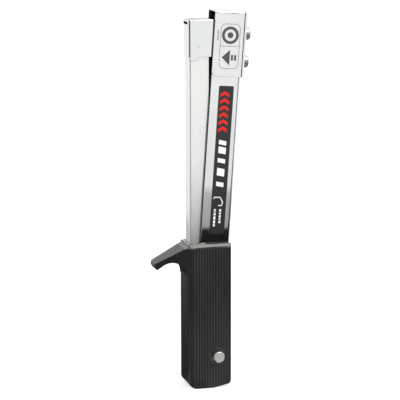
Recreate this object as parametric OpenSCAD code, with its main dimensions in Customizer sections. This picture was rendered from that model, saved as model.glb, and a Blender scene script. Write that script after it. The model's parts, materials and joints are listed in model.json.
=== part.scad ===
// Hammer tacker: a stapling hammer with a fixed magazine and a sprung striker arm.
// Millimetres. +Z runs up the grip to the head, -X is the striking side and
// -Y is the labelled side. The butt of the grip stands on z = 0.
// The arm is drawn shut, parallel to the magazine, and swung open about its pin.

/* [Overall] */
// Height of the striker head above the butt with the arm shut
head_top = 304; // [280:1:370]
// Length of the moulded grip
grip_length = 118.5; // [95:0.5:145]

/* [Magazine and staples] */
// Clear width inside the magazine, set by the staple crown
magazine_bore = 12; // [10:0.1:15]
// Depth of the magazine channel
magazine_depth = 16; // [13.5:0.5:19]
// Length of the nose cap
nose_length = 29.3; // [22:0.1:40]
// Depth of the nose cap sides
nose_depth = 20.6; // [20:0.1:22]

/* [Striker arm] */
// Depth of the arm channel
arm_depth = 24.6; // [21:0.1:28]
// Length of the cover over the striking head
head_length = 52; // [43:0.5:65]
// How far the head stands above the nose with the arm shut
head_rise = 6.7; // [6:0.1:8]
// Angle that the arm stands open at rest
open_angle = 4; // [3:0.1:5]

/* [Pivot] */
// Height of the pivot pin above the butt
pivot_height = 26.5; // [24:0.5:40]
// Diameter of the pivot pin
pin_diameter = 5; // [4:0.1:6]
// Diameter of the pin's round heads
pin_head = 9; // [8:0.1:11.6]

/* [Grip walls] */
// Front wall of the grip
front_wall = 1.4; // [1:0.1:3]
// Side walls of the grip, over the ribs
side_wall = 3.1; // [2.5:0.1:5]
// Back wall of the grip
back_wall = 2.1; // [1.5:0.1:4]

/* [Finger hook] */
// How far the hook reaches in front of the grip
hook_reach = 25.6; // [22:0.1:35]
// Slope of the hook, down from the grip to its tip
hook_slope = 26.3; // [20:0.1:34]
// Radius of the fillet where the finger rests
hook_fillet = 12; // [8:0.5:15]

/* [Sheet and fits] */
// Thickness of the sheet of the arm, cover and liner
sheet = 1.2; // [0.9:0.05:1.5]
// Thickness of the sheet of the magazine and nose
thin_sheet = 1; // [0.8:0.05:1.3]
// Radial clearance of the pivot in its bush
running_fit = 0.05; // [0.02:0.01:0.1]
// Gap between sliding parts
slide_gap = 0.15; // [0.1:0.05:0.3]
// Gap on each side between the nose and the arm
nose_gap = 0.3; // [0.2:0.05:0.6]
// Gap on each side between the arm and the liner
side_gap = 0.5; // [0.3:0.05:1]

/* [Detail] */
// Number of ribs on each side of the grip
rib_count = 14; // [8:1:18]
// Turns in the long follower spring
follower_turns = 26; // [18:1:36]
// Facets of round features
$fn = 48; // [24:8:96]

/* [Hidden] */
eps = 0.01;

// widths, worked outwards from the staples
magazine_width = magazine_bore + 2 * thin_sheet;
nose_width = magazine_width + 2 * thin_sheet;
arm_bore = nose_width + 2 * nose_gap;
arm_width = arm_bore + 2 * sheet;
cover_width = arm_width + 2 * sheet;
liner_bore = arm_width + 2 * side_gap;
liner_width = liner_bore + 2 * sheet;
grip_width = liner_width + 2 * side_wall;

// pin and bush
pin_radius = pin_diameter / 2;
bush_radius = pin_radius + 1;
washer_radius = bush_radius + 2;
pin_hole_radius = pin_head / 2 + 0.7;
pin_proud = 5;
pin_reach = grip_width / 2 + pin_proud;

// stop: a strap across the liner, with a rubber pad for the arm
strap_z = 62;
strap_height = 8;
pad_gap = 0.12;
pad_room = 0.858;

// depths, worked back from the front of the grip
packer = 0.6;
bush_to_magazine = 1.7;
bush_to_web = 0.1;
magazine_to_pivot = bush_radius + bush_to_magazine;
pivot_to_back = bush_radius + bush_to_web + sheet;
rest_lean = (strap_z + strap_height - pivot_height) * tan(open_angle);
grip_depth = front_wall + sheet + packer + magazine_depth + magazine_to_pivot
    + pivot_to_back + rest_lean + pad_room + thin_sheet + back_wall;
grip_front = -grip_depth / 2;
grip_back = grip_depth / 2;
cavity_front = grip_front + front_wall;
cavity_back = grip_back - back_wall;
floor_z = 5;
rim_height = 3;
rim_inset = 1.9;
rib_margin = 4.1;
rib_pitch = (grip_depth - rib_margin) / rib_count;
hook_root = 3;

// liner: a U of sheet in the grip, web to the front
liner_bend = 2;
liner_web = cavity_front + sheet;
liner_top = grip_length + 0.5;
strap_front = cavity_back - thin_sheet;

// magazine: a U of thinner sheet, web to the front
magazine_front = liner_web + packer;
magazine_web = magazine_front + thin_sheet;
magazine_back = magazine_front + magazine_depth;
magazine_foot = 12;
nose_top = head_top - head_rise;
magazine_top = nose_top - 4.3;
frame_rivet_z = [34, grip_length - 48.5, grip_length - 14.5];
frame_rivet_radius = 1.5;

// nose: wraps the end of the magazine
nose_front = magazine_front - thin_sheet;
nose_back = nose_front + nose_depth;
nose_bottom = nose_top - nose_length;
slot_low = nose_top - 3.7;
slot_high = nose_top - 1.8;
throat_high = nose_top - 0.8;

// staple rail inside the magazine
leg_room = 1.3;
rail_width = magazine_bore - 2 * leg_room;
rail_sheet = 0.8;
rail_back = magazine_web + 10.2;
rail_top = magazine_top - 0.4;
rail_slot = 2.6;

// follower: rod, spring, pusher and latch
rod_x = magazine_web + 5.2;
rod_radius = 2;
rod_top = rail_top - 4.4;
rod_depth = 7;
pusher_length = 16;
pusher_top = rod_top - 1.2;
pusher_foot = pusher_top - pusher_length;
latch_height = 10;
port_low = magazine_front + 0.6;
port_high = magazine_back + 0.6;
port_width = magazine_bore + 1;

// arm, drawn shut
pivot_offset = magazine_back + magazine_to_pivot;
arm_back = pivot_offset + pivot_to_back;
arm_front = arm_back - arm_depth;
arm_web = arm_back - sheet;
arm_foot = pivot_height - 12;
arm_top = head_top - 4;
arm_bend = 2.6;
cover_gap = 1.5;
cover_bend = arm_bend + sheet;
cover_back = arm_back + cover_gap + sheet;
cover_foot = head_top - head_length;

// driver blade, in the arm
blade_thick = 1.2;
blade_width = magazine_bore - 0.6;
blade_low = nose_top - 3.3;
blade_high = blade_low + blade_thick;
clamp_front = arm_web - 2 * blade_thick;
rivet_radius = 2.5;
rivet_low = cover_foot + 12;
rivet_high = blade_low - 8;
blade_foot = rivet_low - 6;

// return spring, between the magazine and the arm's web
spring_z = grip_length - 18.5;
seat_back = magazine_back + thin_sheet;

steel = [0.80, 0.81, 0.82];
bright = [0.90, 0.90, 0.88];
dark = [0.13, 0.13, 0.14];
charcoal = [0.20, 0.20, 0.22];
rubber = [0.05, 0.05, 0.05];

// ---------- shared shapes ----------

// rectangle from x = low to high, width across, with its low-x corners rounded
module round_front(low, high, width, radius) {
    translate([low + radius, -width / 2])
        square([high - low - radius, width]);
    translate([low, radius - width / 2])
        square([radius, width - 2 * radius]);
    for (side = [-1, 1])
        translate([low + radius, side * (width / 2 - radius)])
            circle(radius);
}

// bent channel section with its web at x = low and its flanges towards +X
module front_channel(low, high, width, gauge, radius) {
    difference() {
        round_front(low, high, width, radius);
        round_front(low + gauge, high + 1, width - 2 * gauge, radius - gauge);
    }
}

// the same with its web at x = high and its flanges towards -X
module back_channel(low, high, width, gauge, radius) {
    mirror([1, 0])
        front_channel(-high, -low, width, gauge, radius);
}

// stands an X-Z outline up and gives it a width along Y
module across(width) {
    translate([0, width / 2, 0])
        rotate([90, 0, 0])
            linear_extrude(width)
                children();
}

// round bar along Y through (x, z), from y = low to high
module bar_y(x, z, low, high, radius) {
    translate([x, high, z])
        rotate([90, 0, 0])
            cylinder(h = high - low, r = radius);
}

// round bar along X through (y, z), from x = low to high
module bar_x(y, z, low, high, radius) {
    translate([low, y, z])
        rotate([0, 90, 0])
            cylinder(h = high - low, r = radius);
}

// swings the shut arm out to its rest position
module at_rest() {
    translate([pivot_offset, 0, pivot_height])
        rotate([0, open_angle, 0])
            translate([-pivot_offset, 0, -pivot_height])
                children();
}

// coil spring along +Z from z = 0, as one closed skin
module coil(length, radius, wire, turns, steps = 12, sides = 5) {
    total = turns * steps;
    rings = [for (i = [0:total]) let (
        turn = 360 * i / steps,
        rise = wire + (length - 2 * wire) * i / total)
        for (k = [0:sides - 1]) let (
            round = 360 * k / sides,
            reach = radius + wire * cos(round))
            [reach * cos(turn), reach * sin(turn), rise + wire * sin(round)]];
    skin = [for (i = [0:total - 1]) for (k = [0:sides - 1]) let (
        here = i * sides + k,
        next = i * sides + (k + 1) % sides)
        [here, next, next + sides, here + sides]];
    first = [for (k = [0:sides - 1]) sides - 1 - k];
    last = [for (k = [0:sides - 1]) total * sides + k];
    polyhedron(points = rings, faces = concat(skin, [first], [last]), convexity = 10);
}

// ---------- grip and frame ----------

// side outline of the grip: rounded butt, rising behind, and a bevelled front rim
module grip_outline() {
    butt_front = 8;
    butt_back = 4;
    butt_rise = 2.4;
    flat = port_high + 1 - grip_front - butt_front;
    rim_lip = cavity_front - 0.6;
    difference() {
        hull() {
            translate([grip_front + butt_front, butt_front])
                circle(butt_front);
            translate([grip_front + butt_front, 0])
                square([flat, 1]);
            translate([grip_back - butt_back, butt_rise + butt_back])
                circle(butt_back);
            translate([grip_front, grip_length - 1])
                square([grip_depth, 1]);
        }
        polygon([[grip_front - 1, grip_length - rim_height - 1],
                 [grip_front, grip_length - rim_height],
                 [rim_lip, grip_length],
                 [rim_lip, grip_length + 1],
                 [grip_front - 1, grip_length + 1]]);
    }
}

// end outline of the grip, with both side rims bevelled
module grip_end_outline() {
    half = grip_width / 2;
    polygon([[-half, 0], [half, 0], [half, grip_length - rim_height],
             [half - rim_inset, grip_length], [rim_inset - half, grip_length],
             [-half, grip_length - rim_height]]);
}

module grip_plan() {
    front_corner = 5;
    back_corner = 3;
    round_front(grip_front, 0.5, grip_width, front_corner);
    rotate(180)
        round_front(grip_front, 0.5, grip_width, back_corner);
}

// finger hook in side view, hollowed below by the finger fillet
module hook_outline() {
    thickness = 12.1;
    flare = 6.7;
    tip_x = grip_front - hook_reach;
    root_z = grip_length - 2;
    tip_z = root_z - hook_reach * tan(hook_slope);
    fillet_z = root_z - thickness - hook_fillet;
    under_slope = hook_slope + flare;
    difference() {
        polygon([[grip_front + hook_root, root_z + hook_root * tan(hook_slope)], [tip_x, tip_z],
                 [tip_x - 0.3, tip_z - 2.2], [tip_x + 1.6, tip_z - 5.2],
                 [grip_front - hook_fillet - hook_fillet * sin(under_slope),
                  fillet_z + hook_fillet * cos(under_slope)],
                 [grip_front - hook_fillet, fillet_z],
                 [grip_front + hook_root, fillet_z]]);
        translate([grip_front - hook_fillet, fillet_z])
            circle(hook_fillet);
    }
}

module hook_plan() {
    root = grip_width / 2 - 2;
    tip = root - 4.4;
    nib = 3;
    tip_x = grip_front - hook_reach - 0.5;
    polygon([[grip_front + hook_root, -root], [grip_front + hook_root, root], [grip_front, root],
             [tip_x + nib, tip + 0.4], [tip_x + nib, -tip - 0.4], [grip_front, -root]]);
    translate([tip_x, nib - tip])
        square([nib + eps, 2 * (tip - nib)]);
    for (side = [-1, 1])
        translate([tip_x + nib, side * (tip - nib)])
            circle(nib + 0.2);
}

// Moulded grip with ribs, finger hook and butt opening
module grip_sleeve() {
    boss = pin_hole_radius + 1.9;
    groove = rib_pitch * 0.42;
    groove_depth = 0.5;
    cavity_corner = 2;
    window_gap = 0.8;
    color(dark)
    difference() {
        union() {
            intersection() {
                linear_extrude(grip_length) grip_plan();
                across(grip_width) grip_outline();
                rotate([90, 0, 90])
                    translate([0, 0, grip_front])
                        linear_extrude(grip_depth) grip_end_outline();
            }
            intersection() {
                across(grip_width) hook_outline();
                linear_extrude(grip_length + 5) hook_plan();
            }
        }
        // hollow for the steel frame, closed at the butt
        translate([0, 0, floor_z])
            linear_extrude(grip_length)
                round_front(cavity_front, cavity_back, liner_width, cavity_corner);
        // window for the arm in the back wall
        translate([cavity_back - 1, -arm_width / 2 - window_gap, spring_z - 6])
            cube([back_wall + 2, arm_width + 2 * window_gap, grip_length]);
        // opening that the follower is drawn through
        translate([port_low, -port_width / 2, -1])
            cube([port_high - port_low, port_width, floor_z + 2]);
        bar_y(pivot_offset, pivot_height, -grip_width, grip_width, pin_hole_radius);
        // grooves between the ribs, run out at the butt and stopped round the pin
        difference() {
            for (i = [0:rib_count])
                for (side = [-1, 1])
                    translate([rib_pitch * (i - rib_count / 2), side * grip_width / 2,
                               grip_length / 2])
                        cube([groove, 2 * groove_depth, grip_length + 2], center = true);
            bar_y(pivot_offset, pivot_height, -grip_width, grip_width, boss);
        }
    }
}

// Steel U inside the grip that carries the magazine and the pin
module handle_liner() {
    cheek_reach = liner_web + 12.7;
    cheek_foot = strap_z + strap_height;
    cheek = strap_front - cheek_reach;
    color(bright)
    difference() {
        translate([0, 0, floor_z])
            linear_extrude(liner_top - floor_z)
                front_channel(cavity_front, strap_front, liner_width, sheet, liner_bend);
        // the cheeks are cut back above the stop
        across(grip_width + 2)
            polygon([[strap_front + 1, cheek_foot], [strap_front - 1, cheek_foot],
                     [cheek_reach, cheek_foot + cheek], [cheek_reach, liner_top + 1],
                     [strap_front + 1, liner_top + 1]]);
        bar_y(pivot_offset, pivot_height, -grip_width, grip_width, pin_radius);
        frame_rivet_holes();
    }
}

module frame_rivet_holes() {
    for (z = frame_rivet_z)
        bar_x(0, z, cavity_front - 1, magazine_web + 1, frame_rivet_radius);
}

// Channel that holds the staples
module magazine_channel() {
    color(steel)
    difference() {
        translate([0, 0, magazine_foot])
            linear_extrude(magazine_top - magazine_foot)
                front_channel(magazine_front, magazine_back, magazine_width, thin_sheet, 1.6);
        frame_rivet_holes();
    }
}

// Strip that spaces the magazine off the liner
module magazine_packer() {
    width = 10;
    foot = 20;
    color(bright)
    difference() {
        translate([liner_web, -width / 2, foot])
            cube([packer, width, grip_length - 6.5 - foot]);
        frame_rivet_holes();
    }
}

// Three rivets through liner, packer and magazine
module magazine_rivets() {
    head_radius = 2.2;
    head_height = 0.8;
    color(bright)
    for (z = frame_rivet_z) {
        bar_x(0, z, cavity_front, magazine_web, frame_rivet_radius);
        bar_x(0, z, magazine_web, magazine_web + head_height, head_radius);
    }
}

// Rail that the staples straddle, slotted for the pusher's fin
module staple_rail() {
    color(bright)
    difference() {
        translate([0, 0, magazine_foot])
            linear_extrude(rail_top - magazine_foot)
                back_channel(magazine_web, rail_back, rail_width, rail_sheet, 1);
        translate([rail_back - 2, -rail_slot / 2, magazine_foot - 1])
            cube([3, rail_slot, rod_top - magazine_foot + 1]);
    }
}

// Side outline of the nose cap, with a small tab at the foot of each cheek
module nose_outline() {
    tab_low = nose_front + 3.2;
    tab_high = nose_front + 7.4;
    tab_radius = 1.6;
    translate([nose_front, nose_bottom])
        square([nose_depth, nose_length]);
    hull() {
        translate([tab_low, nose_bottom])
            square([tab_high - tab_low, 1]);
        for (x = [tab_low, tab_high])
            translate([x, nose_bottom - 1])
                circle(tab_radius);
    }
}

// Sleeve round the end of the magazine that meets the work
module nose_cap() {
    weld_radius = 12;
    weld_depth = 0.08;
    tab_room = 5;
    color(steel)
    difference() {
        intersection() {
            translate([0, 0, nose_bottom - tab_room])
                linear_extrude(nose_length + tab_room)
                    front_channel(nose_front, nose_back, nose_width, thin_sheet, 2);
            across(nose_width) nose_outline();
        }
        // mouth that the staple leaves by
        translate([nose_front - 1, -magazine_bore / 2, slot_low])
            cube([thin_sheet + 1.5, magazine_bore, slot_high - slot_low]);
        // dimple of the spot weld
        for (side = [-1, 1])
            translate([nose_front + 8.6, side * (nose_width / 2 + weld_radius - weld_depth),
                       nose_bottom + 8.9])
                sphere(weld_radius);
    }
}

// Hardened plate that closes the nose, bell-mouthed for the blade
module nose_plate() {
    color(bright)
    intersection() {
        across(magazine_width)
            polygon([[magazine_front, slot_high], [nose_back, throat_high],
                     [nose_back, nose_top], [magazine_front, nose_top]]);
        translate([0, 0, slot_high - 1])
            linear_extrude(5)
                round_front(magazine_front, nose_back, magazine_width, thin_sheet);
    }
}

// Floor of the liner, open for the follower
module butt_plate() {
    thickness = 1.5;
    color(bright)
    difference() {
        translate([0, 0, floor_z])
            linear_extrude(thickness)
                round_front(liner_web, strap_front, liner_bore, liner_bend - sheet);
        translate([port_low, -port_width / 2, floor_z - 1])
            cube([port_high - port_low, port_width, 4]);
    }
}

// Pin that the arm turns on, with its near head
module pivot_pin() {
    chamfer = 0.6;
    color(bright) {
        bar_y(pivot_offset, pivot_height, -liner_width / 2, pin_reach - 3, pin_radius);
        translate([pivot_offset, -liner_width / 2, pivot_height])
            rotate([90, 0, 0])
                rotate_extrude()
                    polygon([[0, 0], [pin_head / 2, 0],
                             [pin_head / 2, pin_reach - liner_width / 2 - chamfer],
                             [pin_head / 2 - chamfer, pin_reach - liner_width / 2],
                             [0, pin_reach - liner_width / 2]]);
    }
}

// Head pressed on the far end of the pin
module pivot_cap() {
    chamfer = 0.6;
    color(bright)
    difference() {
        translate([pivot_offset, liner_width / 2, pivot_height])
            rotate([-90, 0, 0])
                rotate_extrude()
                    polygon([[0, 0], [pin_head / 2, 0],
                             [pin_head / 2, pin_reach - liner_width / 2 - chamfer],
                             [pin_head / 2 - chamfer, pin_reach - liner_width / 2],
                             [0, pin_reach - liner_width / 2]]);
        bar_y(pivot_offset, pivot_height, 0, pin_reach - 3, pin_radius);
    }
}

// Two washers that centre the arm between the liner cheeks
module thrust_washers() {
    color(bright)
    for (side = [0, 1])
        mirror([0, side, 0])
            difference() {
                bar_y(pivot_offset, pivot_height, arm_width / 2 + running_fit,
                      liner_bore / 2, washer_radius);
                bar_y(pivot_offset, pivot_height, 0, liner_width, pin_radius);
            }
}

// Strap across the liner that stops the open arm
module stop_strap() {
    color(bright)
    translate([strap_front, -liner_width / 2, strap_z])
        cube([thin_sheet, liner_width, strap_height]);
}

// Rubber pad on the strap
module stop_pad() {
    width = 12;
    pad_front = arm_back + rest_lean + pad_gap;
    color(rubber)
    translate([pad_front, -width / 2, strap_z])
        cube([strap_front - pad_front, width, strap_height]);
}

// Bridge across the magazine with the peg of the return spring
module spring_seat() {
    height = 16;
    peg = 2.6;
    color(bright) {
        translate([magazine_back, -magazine_width / 2, spring_z - height / 2])
            cube([thin_sheet, magazine_width, height]);
        bar_x(0, spring_z, seat_back, seat_back + peg, peg);
    }
}

// Spring that pushes the arm open
module return_spring() {
    radius = 3.8;
    wire = 0.55;
    turns = 5;
    lean = (spring_z - radius - 1.2 - pivot_height) * tan(open_angle);
    room = arm_web + lean - seat_back;
    color(steel)
    translate([seat_back, 0, spring_z])
        rotate([0, 90, 0])
            coil(room - slide_gap, radius, wire, turns, steps = 20, sides = 8);
}

// ---------- striker arm ----------

// Side outline of the arm with its foot rounded
module arm_outline() {
    round_foot = 7;
    translate([arm_front, arm_foot + round_foot])
        square([arm_depth, arm_top - arm_foot - round_foot]);
    translate([arm_front + round_foot, arm_foot])
        square([arm_depth - round_foot, round_foot + eps]);
    translate([arm_front + round_foot, arm_foot + round_foot])
        circle(round_foot);
}

// Channel that swings over the magazine
module arm_channel() {
    color(steel)
    at_rest()
    difference() {
        intersection() {
            translate([0, 0, arm_foot])
                linear_extrude(arm_top - arm_foot)
                    back_channel(arm_front, arm_back, arm_width, sheet, arm_bend);
            across(arm_width + 2) arm_outline();
        }
        bar_y(pivot_offset, pivot_height, -arm_width, arm_width, bush_radius);
        head_rivet_holes();
    }
}

module head_rivet_holes() {
    for (z = [rivet_low, rivet_high])
        bar_x(0, z, clamp_front - 1, cover_back + 1, rivet_radius);
}

// Bush that turns on the pin
module arm_bush() {
    color(bright)
    at_rest()
    difference() {
        bar_y(pivot_offset, pivot_height, -arm_width / 2, arm_width / 2, bush_radius);
        bar_y(pivot_offset, pivot_height, -arm_width, arm_width, pin_radius + running_fit);
    }
}

// Side outline of the head cover with rounded lower corners
module cover_outline() {
    corner = 4;
    depth = cover_back - arm_front;
    translate([arm_front, cover_foot + corner])
        square([depth, head_length - corner]);
    translate([arm_front + corner, cover_foot])
        square([depth - corner, corner + eps]);
    translate([arm_front + corner, cover_foot + corner])
        circle(corner);
}

// Formed cover that doubles the sheet round the striking head
module head_cover() {
    color(steel)
    at_rest()
    difference() {
        intersection() {
            union() {
                translate([0, 0, cover_foot])
                    linear_extrude(head_length)
                        back_channel(arm_front, cover_back, cover_width, sheet, cover_bend);
                translate([0, 0, head_top - sheet])
                    linear_extrude(sheet)
                        mirror([1, 0])
                            round_front(-cover_back, -arm_front, cover_width, cover_bend);
            }
            across(cover_width + 2) cover_outline();
        }
        head_rivet_holes();
    }
}

// Plate between the arm and the back of the cover
module head_packer() {
    width = arm_width - 2 * arm_bend;
    foot = cover_foot + 4;
    color(bright)
    at_rest()
    difference() {
        translate([arm_back, -width / 2, foot])
            cube([cover_gap, width, arm_top - 2 - foot]);
        head_rivet_holes();
    }
}

// Two domed rivets through cover, packer, arm, blade and clamp
module head_rivets() {
    dome = 5;
    rise = 4.8;
    edge = 2;
    tail_radius = 4;
    tail = 1.4;
    color(bright)
    at_rest()
    for (z = [rivet_low, rivet_high])
        translate([0, 0, z])
            rotate([0, 90, 0])
                rotate_extrude()
                    union() {
                        translate([0, clamp_front - tail])
                            square([tail_radius, tail]);
                        translate([0, clamp_front - tail])
                            square([rivet_radius, cover_back - clamp_front + 2 * tail]);
                        translate([0, cover_back])
                            square([dome, rise - edge]);
                        translate([0, cover_back])
                            square([dome - edge, rise]);
                        translate([dome - edge, cover_back + rise - edge])
                            circle(edge);
                    }
}

// Blade that drives the staple, bent to lie along the arm
module driver_blade() {
    color(bright)
    at_rest()
    difference() {
        across(blade_width)
            polygon([[nose_front, blade_low], [arm_web - blade_thick, blade_low],
                     [arm_web - blade_thick, blade_foot], [arm_web, blade_foot],
                     [arm_web, blade_high], [nose_front, blade_high]]);
        head_rivet_holes();
    }
}

// Plate that clamps the blade to the arm
module driver_clamp() {
    color(bright)
    at_rest()
    difference() {
        translate([clamp_front, -blade_width / 2, blade_foot])
            cube([blade_thick, blade_width, rivet_high + 5.5 - blade_foot]);
        head_rivet_holes();
    }
}

// Two strips that meet the back of the nose at the end of the stroke
module buffer_strips() {
    face = nose_back + 0.2;
    inner = blade_width / 2 + 0.3;
    flange = arm_bore / 2;
    bend = arm_bend - sheet;
    foot = rivet_low - 2;
    color(rubber)
    at_rest()
    for (side = [0, 1])
        mirror([0, side, 0])
            translate([0, 0, foot])
                linear_extrude(blade_low - 2 - foot)
                    polygon([[face, inner], [arm_web, inner], [arm_web, flange - bend],
                             [arm_web - bend, flange - bend], [arm_web - bend, flange - 0.1],
                             [face, flange - 0.1]]);
}

// Printed label on the side of the arm
module side_label() {
    corner = 1.4;
    low = arm_front + 7.1;
    high = arm_back - 5.3;
    foot = grip_length + 7.6;
    top = cover_foot - 7.2;
    film = 0.15;
    color(charcoal)
    at_rest()
    translate([0, (film - arm_width) / 2 - film, 0])
        across(film) {
            translate([low, foot + corner])
                square([high - low, top - foot - 2 * corner]);
            translate([low + corner, foot])
                square([high - low - 2 * corner, top - foot]);
            for (x = [low + corner, high - corner])
                for (z = [foot + corner, top - corner])
                    translate([x, z])
                        circle(corner);
        }
}

// ---------- follower ----------

// Plug that closes the butt and holds the rod
module follower_latch() {
    color(dark)
    difference() {
        translate([port_low + slide_gap, slide_gap - port_width / 2, 0])
            cube([port_high - port_low - 2 * slide_gap, port_width - 2 * slide_gap, latch_height]);
        translate([rod_x, 0, latch_height - rod_depth])
            cylinder(h = rod_depth + 1, r = rod_radius);
        // fingernail groove
        bar_y(port_high - 3.2, 0, -3, 3, 1.2);
    }
}

// Rod that guides the pusher and its spring
module follower_rod() {
    head_radius = 3;
    head_height = 1;
    color(bright) {
        translate([rod_x, 0, latch_height - rod_depth])
            cylinder(h = rod_top - latch_height + rod_depth, r = rod_radius);
        translate([rod_x, 0, rod_top - head_height])
            cylinder(h = head_height, r = head_radius);
    }
}

// Long spring behind the pusher
module follower_spring() {
    radius = 2.72;
    wire = 0.3;
    color(steel)
    translate([rod_x, 0, latch_height])
        coil(pusher_foot - latch_height, radius, wire, follower_turns);
}

// Saddle that pushes the staples along the rail
module pusher() {
    outer = magazine_bore - 2 * slide_gap;
    inner = rail_width + 2 * slide_gap;
    legs = magazine_web + 1.6;
    barrel_radius = 3.2;
    color(bright)
    translate([0, 0, pusher_foot])
        linear_extrude(pusher_length)
            difference() {
                union() {
                    difference() {
                        translate([legs, -outer / 2])
                            square([magazine_back - 0.5 - legs, outer]);
                        translate([legs - 1, -inner / 2])
                            square([rail_back + slide_gap - legs + 1, inner]);
                    }
                    translate([rod_x, slide_gap - rail_slot / 2])
                        square([rail_back + 1 - rod_x, rail_slot - 2 * slide_gap]);
                    translate([rod_x, 0])
                        circle(barrel_radius);
                }
                translate([rod_x, 0])
                    circle(rod_radius + running_fit);
            }
}

grip_sleeve();
handle_liner();
magazine_channel();
magazine_packer();
magazine_rivets();
staple_rail();
nose_cap();
nose_plate();
butt_plate();
pivot_pin();
pivot_cap();
thrust_washers();
stop_strap();
stop_pad();
spring_seat();
return_spring();
arm_channel();
arm_bush();
head_cover();
head_packer();
head_rivets();
driver_blade();
driver_clamp();
buffer_strips();
side_label();
follower_latch();
follower_rod();
follower_spring();
pusher();
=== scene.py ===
"""A hammer tacker: moulded grip, chromed magazine and a sprung striker arm.

Each section below is one piece or a group of like pieces, in the order that they go together.
"""

import json
import math

import bmesh
import bpy
from mathutils import Matrix, Vector


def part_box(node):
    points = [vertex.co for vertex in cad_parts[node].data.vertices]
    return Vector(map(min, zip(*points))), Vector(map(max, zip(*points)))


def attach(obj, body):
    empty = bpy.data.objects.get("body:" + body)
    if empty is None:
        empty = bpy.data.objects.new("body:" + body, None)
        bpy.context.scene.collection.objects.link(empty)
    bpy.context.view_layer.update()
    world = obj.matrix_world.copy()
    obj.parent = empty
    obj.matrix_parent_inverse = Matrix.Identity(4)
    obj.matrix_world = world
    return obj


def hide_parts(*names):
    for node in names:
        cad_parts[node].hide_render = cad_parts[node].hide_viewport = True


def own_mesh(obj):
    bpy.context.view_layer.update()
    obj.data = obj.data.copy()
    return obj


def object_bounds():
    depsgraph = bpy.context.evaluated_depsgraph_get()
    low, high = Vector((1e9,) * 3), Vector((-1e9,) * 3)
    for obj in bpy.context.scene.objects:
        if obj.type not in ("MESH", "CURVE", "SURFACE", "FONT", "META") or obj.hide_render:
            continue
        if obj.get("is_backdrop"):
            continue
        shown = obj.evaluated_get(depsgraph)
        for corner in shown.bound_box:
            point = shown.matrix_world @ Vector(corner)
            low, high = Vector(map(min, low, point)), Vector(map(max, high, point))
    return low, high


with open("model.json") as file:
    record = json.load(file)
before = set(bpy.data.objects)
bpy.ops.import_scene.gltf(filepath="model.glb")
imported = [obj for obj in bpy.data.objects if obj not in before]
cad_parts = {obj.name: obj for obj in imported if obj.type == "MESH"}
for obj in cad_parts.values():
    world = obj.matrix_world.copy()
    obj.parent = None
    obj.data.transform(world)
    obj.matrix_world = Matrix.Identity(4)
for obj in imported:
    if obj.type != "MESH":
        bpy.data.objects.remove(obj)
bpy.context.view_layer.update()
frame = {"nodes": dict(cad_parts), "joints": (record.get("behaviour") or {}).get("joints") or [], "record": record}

# ---------------------------------------------------------------------------
# The grip. A thick sleeve of black plastic, moulded in one shot with its ribs
# and its finger hook, pushed over the steel frame and held by the pivot pin.
# ---------------------------------------------------------------------------

MM = 0.001
body_of = {n: b for b, members in frame["record"]["behaviour"]["bodies"].items() for n in members}


class Signal:
    """One value that varies over a surface, with the arithmetic that the finishes use."""

    def __init__(self, finish, socket):
        self.finish = finish
        self.socket = socket

    def _sum(self, operation, *values):
        inputs = dict(enumerate(values))
        return self.finish.node("ShaderNodeMath", {"operation": operation}, inputs)

    def __add__(self, other):
        return self._sum("ADD", self, other)

    def __radd__(self, other):
        return self._sum("ADD", other, self)

    def __sub__(self, other):
        return self._sum("SUBTRACT", self, other)

    def __rsub__(self, other):
        return self._sum("SUBTRACT", other, self)

    def __mul__(self, other):
        return self._sum("MULTIPLY", self, other)

    def __rmul__(self, other):
        return self._sum("MULTIPLY", other, self)

    def __truediv__(self, other):
        return self._sum("DIVIDE", self, other)

    def __pow__(self, other):
        return self._sum("POWER", self, other)

    def __abs__(self):
        return self._sum("ABSOLUTE", self)

    def wave(self):
        return self._sum("SINE", self)

    def between(self, low, high):
        """0 below low, 1 above high, and a smooth rise between them."""
        return self.finish.node(
            "ShaderNodeMapRange",
            {"interpolation_type": "SMOOTHSTEP"},
            {"Value": self, "From Min": low, "From Max": high},
        )


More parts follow.
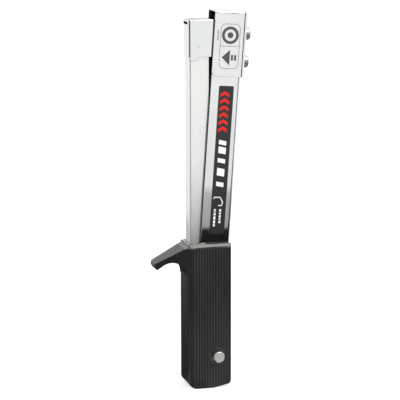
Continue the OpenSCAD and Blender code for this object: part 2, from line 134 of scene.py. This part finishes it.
class Finish:
    """A material built up around one Principled surface."""

    def __init__(self, name, **constants):
        self.material = bpy.data.materials.new(name)
        self.material.use_nodes = True
        self.tree = self.material.node_tree
        self.surface = self.tree.nodes["Principled BSDF"]
        for socket, value in constants.items():
            self.surface.inputs[socket.replace("_", " ")].default_value = value

    def feed(self, socket, value):
        if isinstance(value, Signal):
            self.tree.links.new(value.socket, socket)
        else:
            socket.default_value = value

    def node(self, kind, settings=None, inputs=None, out=0):
        made = self.tree.nodes.new(kind)
        for name, value in (settings or {}).items():
            if name == "stops":
                while len(made.color_ramp.elements) < len(value):
                    made.color_ramp.elements.new(0.5)
                for element, (position, colour) in zip(made.color_ramp.elements, value):
                    element.position = position
                    element.color = colour
            else:
                setattr(made, name, value)
        for key, value in (inputs or {}).items():
            self.feed(made.inputs[key], value)
        return Signal(self, made.outputs[out])

    def place(self, scale=(1, 1, 1), turn=(0, 0, 0), shift=(0, 0, 0)):
        where = self.node("ShaderNodeTexCoord", out="Object")
        return self.node(
            "ShaderNodeMapping",
            inputs={"Vector": where, "Scale": scale, "Rotation": turn, "Location": shift},
        )

    def axis(self, letter, where=None):
        where = where or self.node("ShaderNodeTexCoord", out="Object")
        return self.node("ShaderNodeSeparateXYZ", inputs={"Vector": where}, out=letter)

    def noise(self, where, scale, detail=3.0, roughness=0.5):
        return self.node(
            "ShaderNodeTexNoise",
            inputs={"Vector": where, "Scale": scale, "Detail": detail, "Roughness": roughness},
            out="Fac",
        )

    def cells(self, where, scale):
        return self.node(
            "ShaderNodeTexVoronoi", inputs={"Vector": where, "Scale": scale}, out="Distance"
        )

    def ramp(self, value, *stops):
        colours = [(position, (*colour, 1.0)) for position, colour in stops]
        return self.node("ShaderNodeValToRGB", {"stops": colours}, {"Fac": value}, out="Color")

    def blend(self, factor, first, second):
        first, second = [c if isinstance(c, Signal) else (*c, 1.0) for c in (first, second)]
        return self.node(
            "ShaderNodeMix", {"data_type": "RGBA"}, {0: factor, 6: first, 7: second}, out=2
        )

    def bumped(self, height, depth, strength=1.0, under=None):
        sockets = {"Height": height, "Distance": depth, "Strength": strength}
        if under:
            sockets["Normal"] = under
        return self.node("ShaderNodeBump", inputs=sockets, out="Normal")

    def wears(self, **signals):
        for socket, value in signals.items():
            self.feed(self.surface.inputs[socket.replace("_", " ")], value)
        return self.material


def adopt(piece, node, material):
    """Gives a finished piece its material and lets it stand for a CAD node."""
    piece.data.materials.clear()
    piece.data.materials.append(material)
    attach(piece, body_of[node])
    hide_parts(node)
    return piece


def settled(piece):
    """Bakes a piece's modifiers into its mesh."""
    graph = bpy.context.evaluated_depsgraph_get()
    mesh = bpy.data.meshes.new_from_object(piece.evaluated_get(graph))
    piece.modifiers.clear()
    piece.data = mesh
    return piece


def dressed(node, name, material, edge=0.15, steps=2, corner=32, rims=()):
    """The node's solid with its edges broken by a small round, as tumbling or moulding leaves.

    Each rim is (test, radius): an edge whose middle passes the test gets that radius instead.
    All of them are in mm, and the test is given the middle in mm.
    """
    weld_gap = 0.002 * MM
    flat_enough = math.radians(0.4)
    mesh = frame["nodes"][node].data.copy()
    mesh.name = name
    piece = bpy.data.objects.new(name, mesh)
    bpy.context.scene.collection.objects.link(piece)
    shape = bmesh.new()
    shape.from_mesh(mesh)
    bmesh.ops.remove_doubles(shape, verts=shape.verts, dist=weld_gap)
    bmesh.ops.dissolve_limit(
        shape, angle_limit=flat_enough, verts=shape.verts, edges=shape.edges
    )
    widest = max([edge] + [radius for _, radius in rims])
    weight = shape.edges.layers.float.new("bevel_weight_edge")
    for line in shape.edges:
        if line.calc_face_angle(0) > math.radians(corner):
            middle = (line.verts[0].co + line.verts[1].co) / (2 * MM)
            radius = next((r for passes, r in rims if passes(middle)), edge)
            line[weight] = radius / widest
    for face in shape.faces:
        face.smooth = True
    shape.to_mesh(mesh)
    shape.free()
    rounding = piece.modifiers.new("broken edges", "BEVEL")
    rounding.width = widest * MM
    rounding.segments = steps
    rounding.limit_method = "WEIGHT"
    rounding.use_clamp_overlap = False
    shading = piece.modifiers.new("flat faces", "WEIGHTED_NORMAL")
    shading.weight = 80
    return adopt(settled(piece), node, material)


moulded = Finish("moulded_black_plastic", Specular_IOR_Level=0.4)
grain = moulded.noise(moulded.place(), 2600, detail=2.0)
pits = moulded.cells(moulded.place(), 1500)
flow = moulded.noise(moulded.place(scale=(1, 1, 0.25)), 70, detail=4.0)
width_out = abs(moulded.axis("Y"))
# Painted shade and highlight: the grooves between the ribs get a darker black, standing for the shade in them, and
# the rib crests a lighter black, standing for the light on them.
rib_crest_painted_light = width_out.between(13.85 * MM, 14.2 * MM)
grip_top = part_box("grip_sleeve")[1].z
rim_foot = grip_top - 3 * MM
# The top 3 mm of the grip, above rim_foot, takes a lighter grey and a glossier surface.
top_band = moulded.axis("Z").between(rim_foot - 0.1 * MM, rim_foot + 0.1 * MM)
hooked = 1 - moulded.axis("X").between(-19 * MM, -18 * MM)
moulded.wears(
    Base_Color=moulded.blend(
        top_band,
        moulded.blend(
            rib_crest_painted_light,
            moulded.ramp(flow, (0.35, (0.009, 0.009, 0.0095)), (0.7, (0.013, 0.013, 0.0135))),
            moulded.ramp(flow, (0.35, (0.020, 0.020, 0.0205)), (0.7, (0.030, 0.030, 0.0305))),
        ),
        moulded.ramp(flow, (0.35, (0.07, 0.071, 0.072)), (0.7, (0.13, 0.131, 0.132))),
    ),
    Roughness=0.4 + 0.1 * flow - 0.06 * rib_crest_painted_light - 0.14 * hooked - 0.16 * top_band,
    Normal=moulded.bumped(grain * 0.6 + pits * 0.4, 0.02 * MM, 0.5),
)
dressed("grip_sleeve", "grip_sleeve_moulded", moulded.material, edge=0.22, steps=3)

# ---------------------------------------------------------------------------
# The steel frame in the grip. Zinc-plated strip, blanked and folded: the
# liner, its floor plate, packer, stop strap and spring seat, with the rivets
# and washers that hold them. Their cut edges show round the mouth.
# ---------------------------------------------------------------------------

zinc = Finish("zinc_plated_strip", Metallic=1.0)
bloom = zinc.noise(zinc.place(), 420, detail=5.0, roughness=0.65)
rolled = zinc.noise(zinc.place(scale=(1, 1, 0.05)), 2400, detail=2.0)
zinc.wears(
    Base_Color=zinc.ramp(bloom, (0.3, (0.52, 0.49, 0.43)), (0.7, (0.74, 0.71, 0.64))),
    Roughness=0.28 + 0.22 * bloom,
    Normal=zinc.bumped(rolled + bloom, 0.012 * MM, 0.5),
)
for node in (
    "handle_liner",
    "magazine_packer",
    "magazine_rivets",
    "staple_rail",
    "butt_plate",
    "thrust_washers",
    "stop_strap",
    "spring_seat",
    "nose_plate",
    "arm_bush",
    "head_packer",
    "driver_blade",
    "driver_clamp",
    "pusher",
):
    dressed(node, node + "_plated", zinc.material, edge=0.1)

# ---------------------------------------------------------------------------
# The rubber parts. Cut from black sheet: the pad that the open arm rests on
# and the two strips that soften the end of its stroke.
# ---------------------------------------------------------------------------

rubber = Finish("black_sheet_rubber", Specular_IOR_Level=0.3)
cut_face = rubber.noise(rubber.place(), 1900, detail=4.0)
rubber.wears(
    Base_Color=rubber.ramp(cut_face, (0.3, (0.012, 0.012, 0.012)), (0.8, (0.03, 0.03, 0.029))),
    Roughness=0.72 + 0.2 * cut_face,
    Normal=rubber.bumped(cut_face, 0.05 * MM, 0.7),
)
dressed("stop_pad", "stop_pad_rubber", rubber.material, edge=0.12)
dressed("buffer_strips", "buffer_strips_rubber", rubber.material, edge=0.12)

# ---------------------------------------------------------------------------
# The chromed sheet: magazine, nose, arm and head cover. Steel strip folded
# into channels, polished along its length and bright chromed. The nose is
# spot-welded to the magazine, and the cover is riveted to the arm.
# ---------------------------------------------------------------------------

pivot = Vector(next(j["pos_m"] for j in frame["joints"] if j["name"] == "striker_pivot"))
chrome = Finish("bright_chrome", Metallic=1.0)
polish = chrome.noise(chrome.place(scale=(1, 1, 0.02)), 5200, detail=2.0)
ripple = chrome.noise(chrome.place(scale=(1, 1, 0.3)), 60, detail=1.0)
smear = chrome.noise(chrome.place(), 130, detail=5.0, roughness=0.6)
chrome.wears(
    Base_Color=chrome.ramp(smear, (0.3, (0.78, 0.79, 0.80)), (0.75, (0.85, 0.855, 0.86))),
    Roughness=0.025 + 0.05 * smear.between(0.5, 0.85) + 0.015 * polish,
    Normal=chrome.bumped(
        polish, 0.0012 * MM, 0.5, under=chrome.bumped(ripple, 0.04 * MM, 0.4)
    ),
)
satin = Finish("satin_chrome", Metallic=0.72)
haze = satin.noise(satin.place(scale=(1, 1, 0.1)), 900, detail=4.0)
satin.wears(
    Base_Color=satin.ramp(haze, (0.3, (0.77, 0.775, 0.76)), (0.75, (0.83, 0.835, 0.82))),
    Roughness=0.1 + 0.06 * haze,
    Normal=satin.bumped(haze, 0.004 * MM, 0.5),
)
# Painted shade: this dark plating colour stands for the shade inside the channels and the shadow line along the
# sheared front edges.
painted_shade = Finish("dull_plating", Metallic=1.0)
scale_marks = painted_shade.noise(painted_shade.place(scale=(1, 1, 0.4)), 600, detail=5.0, roughness=0.65)
painted_shade.wears(
    Base_Color=painted_shade.ramp(scale_marks, (0.3, (0.07, 0.07, 0.068)), (0.75, (0.15, 0.148, 0.142))),
    Roughness=0.42 + 0.2 * scale_marks,
    Normal=painted_shade.bumped(scale_marks, 0.01 * MM, 0.5),
)
open_angle = math.radians(4)
at_rest = (
    Matrix.Translation(pivot) @ Matrix.Rotation(open_angle, 4, "Y") @ Matrix.Translation(-pivot)
)
shut = at_rest.inverted()


def shut_box(node):
    """Lowest and highest corner of a node on the arm, measured with the arm shut."""
    places = [shut @ v.co for v in frame["nodes"][node].data.vertices]
    return (
        Vector([min(p[i] for p in places) for i in range(3)]),
        Vector([max(p[i] for p in places) for i in range(3)]),
    )


def paint_channel_shade(piece, swung=False, edge=None):
    """Painted shade: a dark plating colour on the faces that look at a channel's middle, standing for the shade
    inside the channel.

    It also goes on the sheared edges that face the striking side, within edge mm of the front, as a painted shadow
    line along them.
    """
    back = shut if swung else Matrix()
    turn = back.to_3x3()
    places = [back @ v.co for v in piece.data.vertices]
    front = min(p.x for p in places)
    middle = (front + max(p.x for p in places)) / 2
    piece.data.materials.append(painted_shade.material)
    for face in piece.data.polygons:
        centre = back @ face.center
        normal = turn @ face.normal
        inward = normal.x * (middle - centre.x) - normal.y * centre.y
        sheared = edge and centre.x < front + edge * MM and normal.x < -0.25
        if sheared or (inward > 0.2 * MM and abs(normal.z) < 0.5):
            face.material_index = 1


touch = 0.1
nose_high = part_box("nose_cap")[1].z / MM
arm_low, arm_high = (c / MM for c in shut_box("arm_channel"))
cover_low, cover_high = (c / MM for c in shut_box("head_cover"))


def nose_rim(place):
    return place.z > nose_high - touch


def cheek_edge(place):
    """The front edges of the arm's cheeks, above the grip."""
    in_front = (shut @ (place * MM)).x < (arm_low.x + touch) * MM
    return in_front and place.z * MM > grip_top and abs(place.y) > arm_high.y - 0.5


def cover_rim(place):
    """The top edges of the cover, but for the sheared one in front."""
    flat = shut @ (place * MM)
    return flat.z > (cover_high.z - touch) * MM and flat.x > (cover_low.x + 0.5) * MM


paint_channel_shade(dressed("magazine_channel", "magazine_channel_chromed", satin.material, edge=0.12))
paint_channel_shade(
    dressed(
        "nose_cap",
        "nose_cap_chromed",
        chrome.material,
        edge=0.14,
        steps=4,
        rims=[(nose_rim, 0.85)],
    )
)
paint_channel_shade(
    dressed(
        "arm_channel",
        "arm_channel_chromed",
        chrome.material,
        edge=0.12,
        steps=3,
        rims=[(cheek_edge, 0.9)],
    ),
    swung=True,
    edge=1.0,
)
paint_channel_shade(
    dressed(
        "head_cover",
        "head_cover_chromed",
        chrome.material,
        edge=0.16,
        steps=8,
        rims=[(cover_rim, 2.0)],
    ),
    swung=True,
)

# ---------------------------------------------------------------------------
# The pivot pin. Turned steel with a flat chamfered head each side; the far
# head is pressed on. Faced ends show the rings that the tool left.
# ---------------------------------------------------------------------------

turned = Finish("turned_steel", Metallic=1.0)
across = turned.axis("X") - pivot.x
along = turned.axis("Z") - pivot.z
radius = (across * across + along * along) ** 0.5
ring_pitch = 0.22 * MM
rings = (radius * (2 * math.pi / ring_pitch)).wave()
scuffs = turned.noise(turned.place(), 700, detail=5.0, roughness=0.7)
turned.wears(
    Base_Color=turned.ramp(scuffs, (0.3, (0.62, 0.61, 0.58)), (0.7, (0.78, 0.77, 0.74))),
    Roughness=0.3 + 0.14 * scuffs,
    Normal=turned.bumped(rings * 0.5 + scuffs, 0.006 * MM, 0.6),
)
dressed("pivot_pin", "pivot_pin_turned", turned.material, edge=0.1, steps=3)
dressed("pivot_cap", "pivot_cap_turned", turned.material, edge=0.1, steps=3)
dressed("follower_rod", "follower_rod_drawn", turned.material, edge=0.1)
dressed("head_rivets", "head_rivets_set", turned.material, edge=0.1)

# ---------------------------------------------------------------------------
# The springs. Bright drawn wire wound on a mandrel: a short stout one behind
# the magazine opens the arm, and a long light one drives the pusher.
# ---------------------------------------------------------------------------

wire = Finish("drawn_spring_wire", Metallic=1.0)
drawn = wire.noise(wire.place(), 900, detail=3.0)
wire.wears(
    Base_Color=wire.ramp(drawn, (0.3, (0.42, 0.42, 0.41)), (0.7, (0.6, 0.6, 0.58))),
    Roughness=0.25 + 0.15 * drawn,
    Normal=wire.bumped(drawn, 0.01 * MM, 0.4),
)

spring_tree = bpy.data.node_groups.new("wound_spring", "GeometryNodeTree")
for label, kind in (
    ("Turns", "NodeSocketFloat"),
    ("Coil Radius", "NodeSocketFloat"),
    ("Wire Radius", "NodeSocketFloat"),
    ("Length", "NodeSocketFloat"),
    ("Wire", "NodeSocketMaterial"),
):
    spring_tree.interface.new_socket(label, in_out="INPUT", socket_type=kind)
spring_tree.interface.new_socket("Geometry", in_out="OUTPUT", socket_type="NodeSocketGeometry")
given = spring_tree.nodes.new("NodeGroupInput")
helix = spring_tree.nodes.new("GeometryNodeCurveSpiral")
helix.inputs["Resolution"].default_value = 28
section = spring_tree.nodes.new("GeometryNodeCurvePrimitiveCircle")
section.inputs["Resolution"].default_value = 10
tube = spring_tree.nodes.new("GeometryNodeCurveToMesh")
tube.inputs["Fill Caps"].default_value = True
soft = spring_tree.nodes.new("GeometryNodeSetShadeSmooth")
real = spring_tree.nodes.new("GeometryNodeRealizeInstances")
coated = spring_tree.nodes.new("GeometryNodeSetMaterial")
result = spring_tree.nodes.new("NodeGroupOutput")
for source, target in (
    (given.outputs["Turns"], helix.inputs["Rotations"]),
    (given.outputs["Coil Radius"], helix.inputs["Start Radius"]),
    (given.outputs["Coil Radius"], helix.inputs["End Radius"]),
    (given.outputs["Length"], helix.inputs["Height"]),
    (given.outputs["Wire Radius"], section.inputs["Radius"]),
    (helix.outputs["Curve"], tube.inputs["Curve"]),
    (section.outputs["Curve"], tube.inputs["Profile Curve"]),
    (tube.outputs["Mesh"], soft.inputs["Geometry"]),
    (soft.outputs["Geometry"], real.inputs["Geometry"]),
    (real.outputs["Geometry"], coated.inputs["Geometry"]),
    (given.outputs["Wire"], coated.inputs["Material"]),
    (coated.outputs["Geometry"], result.inputs["Geometry"]),
):
    spring_tree.links.new(source, target)


def wound(name, place, **sizes):
    """A spring from the tree, wound along +Z and then moved by the matrix place."""
    piece = bpy.data.objects.new(name, bpy.data.meshes.new(name))
    bpy.context.scene.collection.objects.link(piece)
    winding = piece.modifiers.new("winding", "NODES")
    winding.node_group = spring_tree
    for item in spring_tree.interface.items_tree:
        key = item.name.replace(" ", "_").lower()
        if item.in_out == "INPUT" and key in sizes:
            winding[item.identifier] = sizes[key]
    settled(piece)
    piece.data.transform(place)
    return piece


low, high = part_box("return_spring")
return_wire = 0.55 * MM
return_spring = wound(
    "return_spring_wound",
    Matrix.Translation((low.x + return_wire, 0, (low.z + high.z) / 2))
    @ Matrix.Rotation(math.pi / 2, 4, "Y"),
    turns=5.5,
    coil_radius=(high.z - low.z) / 2 - return_wire,
    wire_radius=return_wire,
    length=high.x - low.x - 2 * return_wire,
    wire=wire.material,
)
adopt(return_spring, "return_spring", wire.material)
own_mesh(return_spring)

low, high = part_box("follower_spring")
follower_wire = 0.3 * MM
follower_spring = wound(
    "follower_spring_wound",
    Matrix.Translation(((low.x + high.x) / 2, 0, low.z + follower_wire)),
    turns=64,
    coil_radius=(high.x - low.x) / 2 - follower_wire,
    wire_radius=follower_wire,
    length=high.z - low.z - 2 * follower_wire,
    wire=wire.material,
)
adopt(follower_spring, "follower_spring", wire.material)
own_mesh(follower_spring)

# ---------------------------------------------------------------------------
# The follower plug. Black moulded plastic that closes the butt, with a groove
# for a fingernail.
# ---------------------------------------------------------------------------

dressed("follower_latch", "follower_latch_moulded", moulded.material, edge=0.25, steps=3)

# ---------------------------------------------------------------------------
# The label. A charcoal film stuck along the side of the arm, screen printed
# with a red band, white strokes and the outline of a staple.
# ---------------------------------------------------------------------------

film = Finish("charcoal_label_film", Specular_IOR_Level=0.45)
ink = film.noise(film.place(), 1500, detail=3.0)
film.wears(
    Base_Color=film.ramp(ink, (0.3, (0.015, 0.0145, 0.015)), (0.7, (0.021, 0.0205, 0.021))),
    Roughness=0.2 + 0.1 * ink,
    Normal=film.bumped(ink, 0.006 * MM, 0.4),
)
dressed("side_label", "side_label_film", film.material, edge=0.03)


def printed(name, outlines, face, material):
    """Ink laid on the side of the arm: closed outlines of (x, z) in mm, with the arm shut."""
    sunk = 0.01 * MM
    thickness = 0.03 * MM
    shape = bmesh.new()
    for outline in outlines:
        rims = [
            [shape.verts.new((x * MM, y, z * MM)) for x, z in outline]
            for y in (face + sunk, face - thickness)
        ]
        count = len(outline)
        shape.faces.new(rims[0])
        shape.faces.new(rims[1])
        for i in range(count):
            j = (i + 1) % count
            shape.faces.new((rims[0][i], rims[0][j], rims[1][j], rims[1][i]))
    bmesh.ops.recalc_face_normals(shape, faces=shape.faces)
    mesh = bpy.data.meshes.new(name)
    shape.to_mesh(mesh)
    shape.free()
    mesh.transform(at_rest)
    mesh.materials.append(material)
    piece = bpy.data.objects.new(name, mesh)
    bpy.context.scene.collection.objects.link(piece)
    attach(piece, "striker_arm")
    return piece


def inked(name, colour):
    made = Finish(name, Specular_IOR_Level=0.25)
    speck = made.noise(made.place(), 2200, detail=2.0)
    return made.wears(
        Base_Color=made.ramp(speck, (0.25, tuple(c * 0.9 for c in colour)), (0.7, colour)),
        Roughness=0.36 + 0.1 * speck,
    )


def bar(x, z, width, height):
    return [(x, z), (x + width, z), (x + width, z + height), (x, z + height)]


def stroke(points, width):
    """A bent line of even width through the points."""
    sides = ([], [])
    for i, (x, z) in enumerate(points):
        before = points[max(i - 1, 0)]
        after = points[min(i + 1, len(points) - 1)]
        run = Vector((after[0] - before[0], after[1] - before[1])).normalized()
        for side, edge in zip((1, -1), sides):
            edge.append((x - run.y * side * width / 2, z + run.x * side * width / 2))
    return sides[0] + sides[1][::-1]


label_low, label_high = (c / MM for c in shut_box("side_label"))
label_face = label_low.y * MM
middle = (label_low.x + label_high.x) / 2
red_blocks = [
    [
        (middle - 4.6, z - 0.6),
        (middle - 0.9, z + 1.6),
        (middle + 2.8, z - 0.6),
        (middle + 2.8, z + 2.1),
        (middle - 0.9, z + 4.3),
        (middle - 4.6, z + 2.1),
    ]
    for z in (label_high.z - 8.4 - 5.6 * i for i in range(6))
]
red_ink = inked("red_ink", (0.62, 0.012, 0.008))
printed("label_red_band", red_blocks, label_face, red_ink)
white_ink = inked("white_ink", (0.78, 0.78, 0.77))
white_bars = [
    [
        (middle - 3.2, z + 1.0),
        (middle + 2.9, z),
        (middle + 2.9, z + deep),
        (middle - 3.2, z + deep + 1.0),
    ]
    for z, deep in (
        (label_high.z - 47.5, 3.4),
        (label_high.z - 54.5, 5.2),
        (label_high.z - 62.0, 3.4),
        (label_high.z - 72.5, 6.0),
        (label_high.z - 81.0, 3.4),
    )
]
staple_top = label_low.z + 29.4
white_bars.append(
    stroke(
        [
            (middle + x, staple_top + z)
            for x, z in ((-4.1, -1.4), (-4.2, 0), (0.9, 0), (3.1, -3.8), (2.4, -6.6), (-0.4, -6.6))
        ],
        0.8,
    )
)
for column, dashes in ((1.6, (2.0, 1.4, 1.8, 1.2, 1.8)), (-2.8, (1.2, 0.8, 1.6, 2.6, 2.4, 1.6))):
    reach_z = staple_top - 9.6
    for dash in dashes:
        white_bars.append(bar(middle + column - 0.8, reach_z - dash, 1.6, dash))
        reach_z -= dash + 0.75
printed("label_white_strokes", white_bars, label_face, white_ink)

# ---------------------------------------------------------------------------
# The stamp on the head. Two plain pictures in a rounded frame, pad printed in
# grey on the side of the cover: a ring and a small hammer.
# ---------------------------------------------------------------------------


def arc(x, z, radius, start, end, steps=10):
    """Points round (x, z) from start to end, in degrees."""
    return [
        (
            x + radius * math.cos(math.radians(start + (end - start) * i / steps)),
            z + radius * math.sin(math.radians(start + (end - start) * i / steps)),
        )
        for i in range(steps + 1)
    ]


def band(outer, inner):
    """Quads that fill the gap between two loops of as many points."""
    count = len(outer)
    return [
        [outer[i], outer[(i + 1) % count], inner[(i + 1) % count], inner[i]] for i in range(count)
    ]


def rounded(x0, z0, x1, z1, radius):
    corners = (
        (x1 - radius, z1 - radius, 0),
        (x0 + radius, z1 - radius, 90),
        (x0 + radius, z0 + radius, 180),
        (x1 - radius, z0 + radius, 270),
    )
    return [p for x, z, a in corners for p in arc(x, z, radius, a, a + 90)]


cover_face = cover_low.y * MM
left = cover_low.x + 5.2
right = left + 16.0
foot = cover_low.z + 6.4
top = foot + 35.5
centre = (left + right) / 2
ring_z = top - 9.0
line = 0.35
stamp = band(
    rounded(left, foot, right, top, 4.2),
    rounded(left + line, foot + line, right - line, top - line, 4.2 - line),
)
stamp.append(bar(left + line, foot + 17.6, right - left - 2 * line, line))
stamp += band(arc(centre, ring_z, 6.9, 0, 351, 39), arc(centre, ring_z, 4.6, 0, 351, 39))
stamp.append(arc(centre, ring_z, 2.4, 0, 350, 35))
middle_z = foot + 8.9
wedge_back = centre + 0.6
stamp.append(
    [(centre - 6.0, middle_z), (wedge_back, middle_z + 6.2), (wedge_back, middle_z - 6.2)]
)
stamp += [bar(centre + x, middle_z - 2.2, 1.7, 4.4) for x in (1.6, 4.2)]
stamp += [bar(left - 2.6, ring_z + 2.6 - 1.7 * i, 1.1, 0.8 + 0.2 * (i % 2)) for i in range(5)]
printed("head_stamp", stamp, cover_face, inked("grey_ink", (0.085, 0.075, 0.075)))

# ---------------------------------------------------------------------------
# The room. A white table in a white room with a soft box overhead, and cards
# that only reflections see: they draw the dark lines in the chrome.
# ---------------------------------------------------------------------------


def staged(name, verts, faces, material):
    mesh = bpy.data.meshes.new(name)
    mesh.from_pydata(verts, [], faces)
    mesh.materials.append(material)
    piece = bpy.data.objects.new(name, mesh)
    bpy.context.scene.collection.objects.link(piece)
    piece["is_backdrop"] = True
    return piece


def only_reflected(piece):
    piece.visible_camera = False
    piece.visible_shadow = False
    piece.visible_diffuse = False


pale = Finish("white_table", Roughness=0.9, Specular_IOR_Level=0.0, Emission_Strength=0.7)
mottle = pale.noise(pale.place(), 9, detail=2.0)
pale.wears(
    Base_Color=pale.ramp(mottle, (0.2, (0.42, 0.42, 0.42)), (0.8, (0.44, 0.44, 0.44))),
    Emission_Color=pale.ramp(mottle, (0.2, (0.98, 0.98, 0.98)), (0.8, (1, 1, 1))),
)
table = 12.0
corners = [(x * table, y * table, 0) for x, y in ((-1, -1), (1, -1), (1, 1), (-1, 1))]
staged("table", corners, [(0, 1, 2, 3)], pale.material)

world = bpy.data.worlds.new("white_room")
bpy.context.scene.world = world
world.use_nodes = True
world.node_tree.nodes["Background"].inputs["Color"].default_value = (1, 1, 1, 1)
world.node_tree.nodes["Background"].inputs["Strength"].default_value = 1.0


def towards(azimuth, elevation):
    """The direction out from the object; azimuth 0 is the side with the label."""
    a, e = math.radians(azimuth), math.radians(elevation)
    return Vector((math.sin(a) * math.cos(e), -math.cos(a) * math.cos(e), math.sin(e)))


def softbox(name, azimuth, elevation, distance, size, power):
    lamp = bpy.data.lights.new(name, "AREA")
    lamp.shape = "RECTANGLE"
    lamp.size, lamp.size_y = size
    lamp.energy = power
    box = bpy.data.objects.new(name, lamp)
    away = towards(azimuth, elevation)
    box.location = Vector((0, 0, 0.15)) + away * distance
    box.rotation_euler = away.to_track_quat("Z", "Y").to_euler()
    bpy.context.scene.collection.objects.link(box)


softbox("key_box", 27, 52, 1.8, (0.8, 0.8), 16)

dark = Finish("dark_card", Roughness=0.9, Specular_IOR_Level=0.0)
fibre = dark.noise(dark.place(), 40)
dark.wears(Base_Color=dark.ramp(fibre, (0.3, (0.02, 0.02, 0.02)), (0.7, (0.03, 0.03, 0.03))))
grey = Finish("grey_card", Roughness=0.9, Specular_IOR_Level=0.0)
weave = grey.noise(grey.place(), 40)
grey.wears(Base_Color=grey.ramp(weave, (0.3, (0.07, 0.072, 0.074)), (0.7, (0.09, 0.092, 0.094))))


def wall(name, start, end, distance, low, high, material):
    """An upright card round the object from one azimuth to another."""
    steps = 6
    spots = [towards(start + (end - start) * i / steps, 0) * distance for i in range(steps + 1)]
    verts = [(spot.x, spot.y, z) for spot in spots for z in (low, high)]
    faces = [(2 * i, 2 * i + 1, 2 * i + 3, 2 * i + 2) for i in range(steps)]
    only_reflected(staged(name, verts, faces, material))


wall("left_card", -66, -8, 1.6, 0.0, 1.6, grey.material)
wall("front_card", -8, 30, 1.6, 0.27, 1.9, dark.material)
wall("right_card", 30, 54, 1.6, 0.0, 1.6, dark.material)
above = Vector((0, 0, 2.0))
disc = [towards(360 * i / 16, 0) * 0.6 + above for i in range(16)]
only_reflected(staged("overhead_card", disc, [tuple(range(16))], dark.material))

# Painted reflection: a glowing disc just above the table that only reflections see. Its rings and lanes of bright,
# grey and dark paint the highlights and dark lines in the chrome. It is not a lamp.
painted_reflection = Finish("table_tones", Roughness=0.9, Specular_IOR_Level=0.0, Emission_Strength=1.0)
painted_reflection.surface.inputs["Base Color"].default_value = (0, 0, 0, 1)
out_x = painted_reflection.axis("X")
out_y = painted_reflection.axis("Y")
reach = (out_x * out_x + out_y * out_y) ** 0.5
behind = out_y.between(-0.03, 0.02)


def past(azimuth):
    """How far round a spot of the table is past an azimuth, as a sine."""
    a = math.radians(azimuth)
    return (out_x * math.cos(a) + out_y * math.sin(a)) / reach


right_lane = past(29).between(0.0, 0.04) * (1.0 - past(50).between(0.0, 0.1))
left_lane = past(-58).between(0.0, 0.08) * (1.0 - past(-6).between(0.0, 0.05))
bands = painted_reflection.ramp(
    reach / 2.0 + 0.1 * behind,
    (0.0, (0.9, 0.9, 0.9)),
    (0.075, (0.9, 0.9, 0.9)),
    (0.095, (0.012, 0.012, 0.012)),
    (0.328, (0.012, 0.012, 0.012)),
    (0.333, (0.38, 0.38, 0.38)),
    (0.44, (0.52, 0.52, 0.52)),
    (0.47, (0.9, 0.905, 0.91)),
    (1.0, (1.0, 1.0, 1.0)),
)
in_lane = right_lane + 0.9 * left_lane
painted_reflection.wears(Emission_Color=painted_reflection.blend(in_lane, bands, (0.02, 0.02, 0.02)))
skim = 0.0004
ring = [towards(360 * i / 48, 0) * 11.0 for i in range(48)]
only_reflected(
    staged(
        "table_reflected",
        [(0, 0, skim)] + [(spot.x, spot.y, skim) for spot in ring],
        [(0, i + 1, (i + 1) % 48 + 1) for i in range(48)],
        painted_reflection.material,
    )
)

camera_data = bpy.data.cameras.new("camera")
camera = bpy.data.objects.new("camera", camera_data)
bpy.context.scene.collection.objects.link(camera)
bpy.context.scene.camera = camera
away = towards(-15.147, 10.5)
roll = math.radians(0.135)
aim = Vector((-0.004437, 0, 0.152443))
distance = 1.49185
camera.location = aim + away * distance
level = away.to_track_quat("Z", "Y").to_matrix()
camera.rotation_euler = (level @ Matrix.Rotation(-roll, 3, "Z")).to_euler()
camera_data.sensor_width = 36
camera_data.lens = 1863.99 / 400 * 36
camera_data.clip_end = 50
bpy.context.scene.view_settings.view_transform = "Standard"

low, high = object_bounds()
